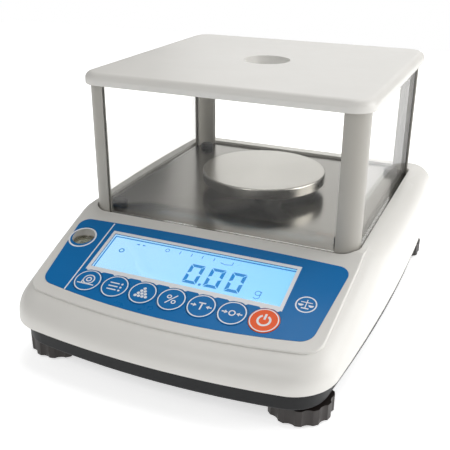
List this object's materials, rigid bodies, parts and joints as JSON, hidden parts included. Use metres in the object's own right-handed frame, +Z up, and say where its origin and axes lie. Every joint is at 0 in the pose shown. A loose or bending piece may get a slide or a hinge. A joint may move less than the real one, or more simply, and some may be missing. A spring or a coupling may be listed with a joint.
{
  "type": "precision balance",
  "caption": "Toploading laboratory balance with a glazed draft shield, round steel pan, sloping keypad with a lit display, bubble level and levelling feet.",
  "frame": {"origin": "on the table, under the middle of the casing", "axes": "+Z up, +Y to the back, +X to the operator's right"},
  "size_m": [0.2246, 0.2954, 0.1643],
  "materials": {
    "casing_white": "fine satin grain",
    "shield_white": "satin",
    "base_charcoal": "fine grain",
    "overlay_blue": "printed foil, semi-gloss",
    "key_blue": "printed, semi-gloss",
    "key_orange": "printed, semi-gloss",
    "window_clear": "clear",
    "lcd_blue": "lit display",
    "backlight_white": "diffuser",
    "frame_black": "matte",
    "board_green": "solder mask",
    "screw_steel": "zinc-plated",
    "port_metal": "plated",
    "level_metal": "polished",
    "bubble_clear": "clear",
    "brushed_deck": "brushed",
    "pan_steel": "brushed face, polished skirt",
    "seal_black": "matte",
    "rubber_black": "matte",
    "cell_aluminium": "milled",
    "pane_glass": "clear, flat",
    "knob_brown": "moulded"
  },
  "bodies": {
    "base": {"backlight": "backlight_white", "board_screws": "screw_steel", "cell_bracket": "cell_aluminium", "cell_mount": "cell_aluminium", "cell_screws": "screw_steel", "dc_socket": "frame_black", "deck_buffers": "rubber_black", "deck_gasket": "seal_black", "deck_plate": "brushed_deck", "display_board": "board_green", "display_screws": "screw_steel", "housing_screws": "screw_steel", "key_switches": "frame_black", "lcd_frame": "frame_black", "lcd_glass": "lcd_blue", "lcd_window": "window_clear", "level_bubble": "bubble_clear", "level_cup": "level_metal", "level_lens": "window_clear", "load_cell": "cell_aluminium", "lower_housing": "base_charcoal", "main_board": "board_green", "overlay": "overlay_blue", "overload_stop": "screw_steel", "serial_jacks": "screw_steel", "serial_socket": "port_metal", "upper_housing": "casing_white"},
    "pan_carrier": {"pan_carrier": "cell_aluminium", "carrier_clip": "screw_steel", "carrier_pads": "rubber_black"},
    "pan": {"pan": "pan_steel"},
    "draft_shield": {"pane_back": "pane_glass", "pane_front": "pane_glass", "pane_left": "pane_glass", "pane_right": "pane_glass", "post_back_left": "shield_white", "post_back_right": "shield_white", "post_front_left": "shield_white", "post_front_right": "shield_white"},
    "lid": {"lid": "shield_white"},
    "key_print_body": {"key_print": "key_blue"},
    "key_mode_body": {"key_mode": "key_blue"},
    "key_count_body": {"key_count": "key_blue"},
    "key_percent_body": {"key_percent": "key_blue"},
    "key_tare_body": {"key_tare": "key_blue"},
    "key_zero_body": {"key_zero": "key_blue"},
    "key_power_body": {"key_power": "key_orange"},
    "pad_front_left": {"foot_pad_front_left": "rubber_black"},
    "knob_front_left": {"foot_knob_front_left": "knob_brown", "foot_stud_front_left": "screw_steel"},
    "pad_front_right": {"foot_pad_front_right": "rubber_black"},
    "knob_front_right": {"foot_knob_front_right": "knob_brown", "foot_stud_front_right": "screw_steel"},
    "pad_rear_left": {"foot_pad_rear_left": "rubber_black"},
    "knob_rear_left": {"foot_knob_rear_left": "knob_brown", "foot_stud_rear_left": "screw_steel"},
    "pad_rear_right": {"foot_pad_rear_right": "rubber_black"},
    "knob_rear_right": {"foot_knob_rear_right": "knob_brown", "foot_stud_rear_right": "screw_steel"}
  },
  "joints": [
    {"name": "pan_load", "type": "slide", "parent": "base", "child": "pan_carrier", "axis": [0, 0, 1], "range_m": [-0.001, 0], "stiffness_N_per_m": 9000, "springref_m": 0.0004},
    {"name": "pan_lift", "type": "slide", "parent": "pan_carrier", "child": "pan", "axis": [0, 0, 1], "range_m": [0, 0.06]},
    {"name": "shield_lift", "type": "slide", "parent": "base", "child": "draft_shield", "axis": [0, 0, 1], "range_m": [0, 0.15]},
    {"name": "lid_lift", "type": "slide", "parent": "draft_shield", "child": "lid", "axis": [0, 0, 1], "range_m": [0, 0.1]},
    {"name": "key_print_press", "type": "slide", "parent": "base", "child": "key_print_body", "axis": [0, -0.3057, 0.9521], "range_m": [-0.0004, 0], "stiffness_N_per_m": 900, "springref_m": 0.0003},
    {"name": "key_mode_press", "type": "slide", "parent": "base", "child": "key_mode_body", "axis": [0, -0.3057, 0.9521], "range_m": [-0.0004, 0], "stiffness_N_per_m": 900, "springref_m": 0.0003},
    {"name": "key_count_press", "type": "slide", "parent": "base", "child": "key_count_body", "axis": [0, -0.3057, 0.9521], "range_m": [-0.0004, 0], "stiffness_N_per_m": 900, "springref_m": 0.0003},
    {"name": "key_percent_press", "type": "slide", "parent": "base", "child": "key_percent_body", "axis": [0, -0.3057, 0.9521], "range_m": [-0.0004, 0], "stiffness_N_per_m": 900, "springref_m": 0.0003},
    {"name": "key_tare_press", "type": "slide", "parent": "base", "child": "key_tare_body", "axis": [0, -0.3057, 0.9521], "range_m": [-0.0004, 0], "stiffness_N_per_m": 900, "springref_m": 0.0003},
    {"name": "key_zero_press", "type": "slide", "parent": "base", "child": "key_zero_body", "axis": [0, -0.3057, 0.9521], "range_m": [-0.0004, 0], "stiffness_N_per_m": 900, "springref_m": 0.0003},
    {"name": "key_power_press", "type": "slide", "parent": "base", "child": "key_power_body", "axis": [0, -0.3057, 0.9521], "range_m": [-0.0004, 0], "stiffness_N_per_m": 900, "springref_m": 0.0003},
    {"name": "foot_front_left_travel", "type": "slide", "parent": "base", "child": "pad_front_left", "axis": [0, 0, 1], "range_m": [-0.008, 0.0015]},
    {"name": "foot_front_left_turn", "type": "hinge", "parent": "pad_front_left", "child": "knob_front_left", "pos_m": [-0.0803, -0.11325, 0.007], "axis": [0, 0, 1], "range_deg": [-2310, 435]},
    {"name": "foot_front_right_travel", "type": "slide", "parent": "base", "child": "pad_front_right", "axis": [0, 0, 1], "range_m": [-0.008, 0.0015]},
    {"name": "foot_front_right_turn", "type": "hinge", "parent": "pad_front_right", "child": "knob_front_right", "pos_m": [0.0803, -0.11325, 0.007], "axis": [0, 0, 1], "range_deg": [-2310, 435]},
    {"name": "foot_rear_left_travel", "type": "slide", "parent": "base", "child": "pad_rear_left", "axis": [0, 0, 1], "range_m": [-0.008, 0.0015]},
    {"name": "foot_rear_left_turn", "type": "hinge", "parent": "pad_rear_left", "child": "knob_rear_left", "pos_m": [-0.0885, 0.11605, 0.007], "axis": [0, 0, 1], "range_deg": [-2310, 435]},
    {"name": "foot_rear_right_travel", "type": "slide", "parent": "base", "child": "pad_rear_right", "axis": [0, 0, 1], "range_m": [-0.008, 0.0015]},
    {"name": "foot_rear_right_turn", "type": "hinge", "parent": "pad_rear_right", "child": "knob_rear_right", "pos_m": [0.0885, 0.11605, 0.007], "axis": [0, 0, 1], "range_deg": [-2310, 435]}
  ],
  "couplings": [
    {"joint": "foot_front_left_turn", "follows": "foot_front_left_travel", "rad_per_m": 5026.5},
    {"joint": "foot_front_right_turn", "follows": "foot_front_right_travel", "rad_per_m": 5026.5},
    {"joint": "foot_rear_left_turn", "follows": "foot_rear_left_travel", "rad_per_m": 5026.5},
    {"joint": "foot_rear_right_turn", "follows": "foot_rear_right_travel", "rad_per_m": 5026.5}
  ]
}
